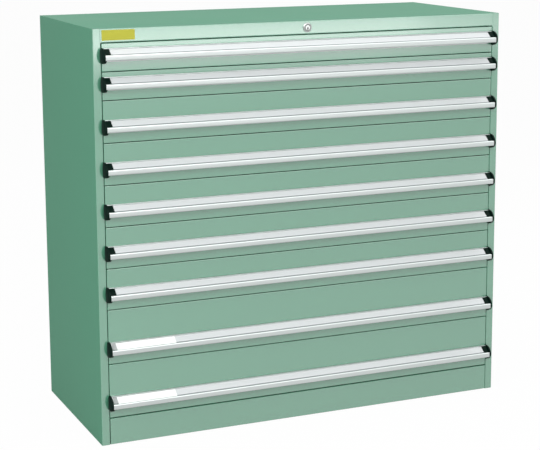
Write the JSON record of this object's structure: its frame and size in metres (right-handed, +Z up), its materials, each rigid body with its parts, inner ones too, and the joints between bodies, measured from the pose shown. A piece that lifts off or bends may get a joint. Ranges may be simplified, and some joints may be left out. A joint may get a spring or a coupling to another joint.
{
  "type": "industrial drawer cabinet",
  "caption": "Wide steel drawer cabinet with shallow, middle and deep drawers on roller runners, full-width label handles and a central key lock.",
  "frame": {"origin": "on the floor, at the middle of the width and of the depth over the handles", "axes": "+X to the right seen from the front, +Y from the drawer fronts to the back, +Z up"},
  "size_m": [1.3, 0.5824, 1.2],
  "materials": {
    "housing_paint": "light green powder coat, fine texture, satin",
    "front_paint": "light green powder coat, satin",
    "tray_paint": "light green powder coat, satin",
    "zinc_steel": "bright zinc plated steel",
    "handle_aluminium": "clear anodised extrusion",
    "cap_plastic": "black moulded plastic",
    "lock_metal": "polished nickel plate"
  },
  "bodies": {
    "root": {"left_side_panel": "housing_paint", "right_side_panel": "housing_paint", "back_panel": "housing_paint", "top_panel": "housing_paint", "base_panel": "housing_paint", "plinth_panel": "housing_paint", "front_cross_rail": "zinc_steel", "left_runner_frame": "zinc_steel", "right_runner_frame": "zinc_steel", "lock_barrel": "lock_metal"},
    "drawer_1": {"drawer_1_front": "front_paint", "drawer_1_tray": "tray_paint", "drawer_1_handle": "handle_aluminium", "drawer_1_cap_left": "cap_plastic", "drawer_1_cap_right": "cap_plastic"},
    "drawer_2": {"drawer_2_front": "front_paint", "drawer_2_tray": "tray_paint", "drawer_2_handle": "handle_aluminium", "drawer_2_cap_left": "cap_plastic", "drawer_2_cap_right": "cap_plastic"},
    "drawer_3": {"drawer_3_front": "front_paint", "drawer_3_tray": "tray_paint", "drawer_3_handle": "handle_aluminium", "drawer_3_cap_left": "cap_plastic", "drawer_3_cap_right": "cap_plastic"},
    "drawer_4": {"drawer_4_front": "front_paint", "drawer_4_tray": "tray_paint", "drawer_4_handle": "handle_aluminium", "drawer_4_cap_left": "cap_plastic", "drawer_4_cap_right": "cap_plastic"},
    "drawer_5": {"drawer_5_front": "front_paint", "drawer_5_tray": "tray_paint", "drawer_5_handle": "handle_aluminium", "drawer_5_cap_left": "cap_plastic", "drawer_5_cap_right": "cap_plastic"},
    "drawer_6": {"drawer_6_front": "front_paint", "drawer_6_tray": "tray_paint", "drawer_6_handle": "handle_aluminium", "drawer_6_cap_left": "cap_plastic", "drawer_6_cap_right": "cap_plastic"},
    "drawer_7": {"drawer_7_front": "front_paint", "drawer_7_tray": "tray_paint", "drawer_7_handle": "handle_aluminium", "drawer_7_cap_left": "cap_plastic", "drawer_7_cap_right": "cap_plastic"},
    "drawer_8": {"drawer_8_front": "front_paint", "drawer_8_tray": "tray_paint", "drawer_8_handle": "handle_aluminium", "drawer_8_cap_left": "cap_plastic", "drawer_8_cap_right": "cap_plastic"},
    "drawer_9": {"drawer_9_front": "front_paint", "drawer_9_tray": "tray_paint", "drawer_9_handle": "handle_aluminium", "drawer_9_cap_left": "cap_plastic", "drawer_9_cap_right": "cap_plastic"},
    "lock_plug": {"lock_plug": "lock_metal", "lock_cam": "zinc_steel"},
    "locking_frame": {"transfer_rod": "zinc_steel", "locking_bar": "zinc_steel"}
  },
  "joints": [
    {"name": "drawer_1_slide", "type": "slide", "parent": "root", "child": "drawer_1", "axis": [0, -1, 0], "range_m": [0, 0.4]},
    {"name": "drawer_2_slide", "type": "slide", "parent": "root", "child": "drawer_2", "axis": [0, -1, 0], "range_m": [0, 0.4]},
    {"name": "drawer_3_slide", "type": "slide", "parent": "root", "child": "drawer_3", "axis": [0, -1, 0], "range_m": [0, 0.4]},
    {"name": "drawer_4_slide", "type": "slide", "parent": "root", "child": "drawer_4", "axis": [0, -1, 0], "range_m": [0, 0.4]},
    {"name": "drawer_5_slide", "type": "slide", "parent": "root", "child": "drawer_5", "axis": [0, -1, 0], "range_m": [0, 0.4]},
    {"name": "drawer_6_slide", "type": "slide", "parent": "root", "child": "drawer_6", "axis": [0, -1, 0], "range_m": [0, 0.4]},
    {"name": "drawer_7_slide", "type": "slide", "parent": "root", "child": "drawer_7", "axis": [0, -1, 0], "range_m": [0, 0.4]},
    {"name": "drawer_8_slide", "type": "slide", "parent": "root", "child": "drawer_8", "axis": [0, -1, 0], "range_m": [0, 0.4]},
    {"name": "drawer_9_slide", "type": "slide", "parent": "root", "child": "drawer_9", "axis": [0, -1, 0], "range_m": [0, 0.4]},
    {"name": "lock_turn", "type": "hinge", "parent": "root", "child": "lock_plug", "pos_m": [0, -0.25875, 1.18], "axis": [0, 1, 0], "range_deg": [0, 90]},
    {"name": "locking_slide", "type": "slide", "parent": "root", "child": "locking_frame", "axis": [-1, 0, 0], "range_m": [0, 0.0198]}
  ],
  "couplings": [
    {"joint": "lock_turn", "follows": "locking_slide", "rad_per_m": 79.333}
  ]
}
